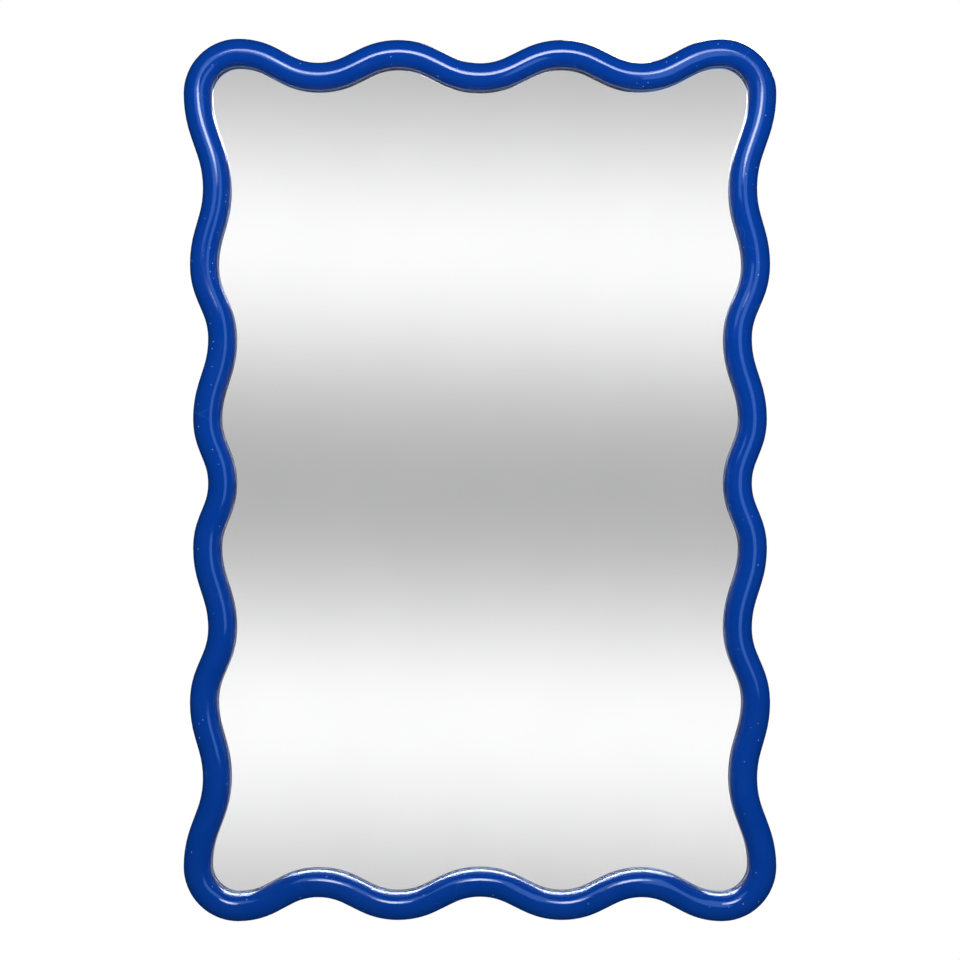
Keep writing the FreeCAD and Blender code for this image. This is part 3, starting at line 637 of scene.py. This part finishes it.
# bands
level = addNode(tree, "Math", {"operation": "MULTIPLY_ADD"}, {0: axes["X"], 1: card["tilt"], 2: axes["Z"]})
under = addNode(tree, "Math", {"operation": "SUBTRACT"}, {0: card["lowBand"], 1: level.outputs[0]})
below = addNode(tree, "Math", {"operation": "MAXIMUM"}, {0: under.outputs[0], 1: 0.0})
eased = addNode(tree, "Math", {"operation": "MULTIPLY_ADD"}, {
    0: below.outputs[0], 1: card["stretch"], 2: level.outputs[0]})
phase = addNode(tree, "Math", {"operation": "MULTIPLY_ADD"}, {
    0: eased.outputs[0], 1: 2 * math.pi / card["period"],
    2: -2 * math.pi * card["middle"] / card["period"]})
wave = addNode(tree, "Math", {"operation": "COSINE"}, {0: phase.outputs[0]})
tone = addNode(tree, "Math", {"operation": "MULTIPLY_ADD"}, {
    0: wave.outputs[0], 1: -card["swing"] / card["whiteLevel"], 2: card["level"] / card["whiteLevel"]})
glow = addNode(tree, "Math", {"operation": "POWER"}, {0: tone.outputs[0], 1: card["gamma"]})
bands = addNode(tree, "Math", {"operation": "DIVIDE"}, {0: glow.outputs[0], 1: card["glassShare"]})

# fades to the sides and below, stronger for light that comes from the lacquer by way of the glass
toward = addNode(tree, "VectorMath", {"operation": "NORMALIZE"}, {0: place})
heading = addNode(tree, "SeparateXYZ", sockets={0: toward.outputs[0]}).outputs
aside = addNode(tree, "Math", {"operation": "ABSOLUTE"}, {0: heading["X"]}).outputs[0]
cardPath = addNode(tree, "LightPath").outputs
twice = addNode(tree, "Math", {"operation": "COMPARE"}, {   # true at a glossy depth of just 2
    0: cardPath["Glossy Depth"], 1: 2.0, 2: 0.5}).outputs[0]
sideEnd = addNode(tree, "Mix", mixValue, {0: twice, 2: card["sideTone"], 3: card["flagSide"]})
lowEnd = addNode(tree, "Mix", mixValue, {0: twice, 2: card["lowTone"], 3: card["flagLow"]})
fades = []
for reach, value, end in (("sideRange", aside, sideEnd), ("lowRange", heading["Z"], lowEnd)):
    start, full = card[reach]
    fades.append(addNode(tree, "MapRange", smooth, {
        "Value": value, "From Min": start, "From Max": full, "To Min": 1.0, "To Max": end.outputs[0]}))
fromFlag = addNode(tree, "Math", {"operation": "SUBTRACT"}, {0: axes["Z"], 1: card["flagMiddle"]})
flagGap = addNode(tree, "Math", {"operation": "ABSOLUTE"}, {0: fromFlag.outputs[0]})
start, full = card["flagReach"]
flag = addNode(tree, "MapRange", smooth, {
    "Value": flagGap.outputs[0], "From Min": start, "From Max": full,
    "To Min": card["flagFront"], "To Max": 1.0})
fades.append(addNode(tree, "Mix", mixValue, {0: twice, 2: 1.0, 3: flag.outputs[0]}))
shade = bands.outputs[0]
for fade in fades:
    shade = addNode(tree, "Math", {"operation": "MULTIPLY"}, {0: shade, 1: fade.outputs[0]}).outputs[0]

# window, only for that light and for soft light, so that the mirror itself stays plain
start, full = card["sill"]
daylight = addNode(tree, "MapRange", sockets={
    "Value": heading["Z"], "From Min": start, "From Max": full}).outputs[0]
edges = []
for edge, value in (("head", heading["Z"]), ("jamb", aside)):
    start, full = card[edge]
    edges.append(addNode(tree, "MapRange", sockets={
        **falling, "Value": value, "From Min": start, "From Max": full}))
edges.append(addNode(tree, "Math", {"operation": "LESS_THAN"}, {0: heading["Y"], 1: 0.0}))
softLight = addNode(tree, "Math", {"operation": "MAXIMUM"}, {0: twice, 1: cardPath["Diffuse Depth"]})
edges.append(addNode(tree, "Math", {"operation": "MINIMUM"}, {0: softLight.outputs[0], 1: 1.0}))
for edge in edges:
    daylight = addNode(tree, "Math", {"operation": "MULTIPLY"}, {
        0: daylight, 1: edge.outputs[0]}).outputs[0]
strength = addNode(tree, "Math", {"operation": "MULTIPLY_ADD"}, {
    0: daylight, 1: card["windowRadiance"], 2: shade})
tint = addNode(tree, "Mix", mixColour, {0: twice, 6: linear(card["white"]), 7: linear(card["flagTint"])})
emission = addNode(tree, "Emission", sockets={"Color": tint.outputs[2], "Strength": strength.outputs[0]})
addNode(tree, "OutputMaterial", sockets={"Surface": emission.outputs[0]})
dress(studioCard, paleCard)
studioCard.visible_camera = False
studioCard.visible_diffuse = False
studioCard.visible_shadow = False
members = ("top_rail", "bottom_rail", "left_stile", "right_stile")
studioCard.light_linking.receiver_collection = leaveOut("noLacquer", [nodes[name] for name in members])

# floor: pale, well below, as under a mirror on a wall; it thins out to the white around it
floorSettings = {
    "height": -2.1,
    "radius": 5.0,
    "solidTo": 1.5,
    "steps": 96,
    "colour": "#EDECEA",
    "roughness": 0.9,
}
rim = []
for i in range(floorSettings["steps"]):
    turn = 2 * math.pi * i / floorSettings["steps"]
    rim.append((floorSettings["radius"] * math.cos(turn), floorSettings["radius"] * math.sin(turn),
                floorSettings["height"]))
mesh = bpy.data.meshes.new("floor")
mesh.from_pydata(rim, [], [tuple(range(floorSettings["steps"]))])
floor = addMesh("floor", mesh)
paleFloor, tree = newMaterial("paleFloor")
place = addNode(tree, "TexCoord").outputs["Object"]
flat = addNode(tree, "VectorMath", {"operation": "MULTIPLY"}, {0: place, 1: (1, 1, 0)})
outward = addNode(tree, "VectorMath", {"operation": "LENGTH"}, {0: flat.outputs[0]})
thinning = addNode(tree, "MapRange", smooth, {
    "Value": outward.outputs["Value"], "From Min": floorSettings["solidTo"],
    "From Max": floorSettings["radius"]})
shader = addNode(tree, "BsdfPrincipled", sockets={
    "Base Color": linear(floorSettings["colour"]), "Roughness": floorSettings["roughness"]})
clear = addNode(tree, "BsdfTransparent")
thinned = addNode(tree, "MixShader", sockets={
    0: thinning.outputs[0], 1: shader.outputs[0], 2: clear.outputs[0]})
addNode(tree, "OutputMaterial", sockets={"Surface": thinned.outputs[0]})
dress(floor, paleFloor)
floor.visible_glossy = False
floor.visible_transmission = False

# world: white to the camera and in reflections, and a softer fill
room = {"white": "#FFFFFF", "fill": 0.5}
world = bpy.data.worlds.new("studio")
scene.world = world
world.use_nodes = True
tree = world.node_tree
tree.nodes.clear()
worldPath = addNode(tree, "LightPath").outputs
shiny = addNode(tree, "Math", {"operation": "MAXIMUM"}, {
    0: worldPath["Is Glossy Ray"], 1: worldPath["Is Transmission Ray"]})
seen = addNode(tree, "Math", {"operation": "MAXIMUM"}, {0: shiny.outputs[0], 1: worldPath["Is Camera Ray"]})
strength = addNode(tree, "Mix", mixValue, {0: seen.outputs[0], 2: room["fill"], 3: 1.0})
background = addNode(tree, "Background", sockets={
    "Color": linear(room["white"]), "Strength": strength.outputs[0]})
addNode(tree, "OutputWorld", sockets={"Surface": background.outputs[0]})
scene.view_settings.view_transform = "Standard"
print("studio set")

bpy.context.view_layer.update()
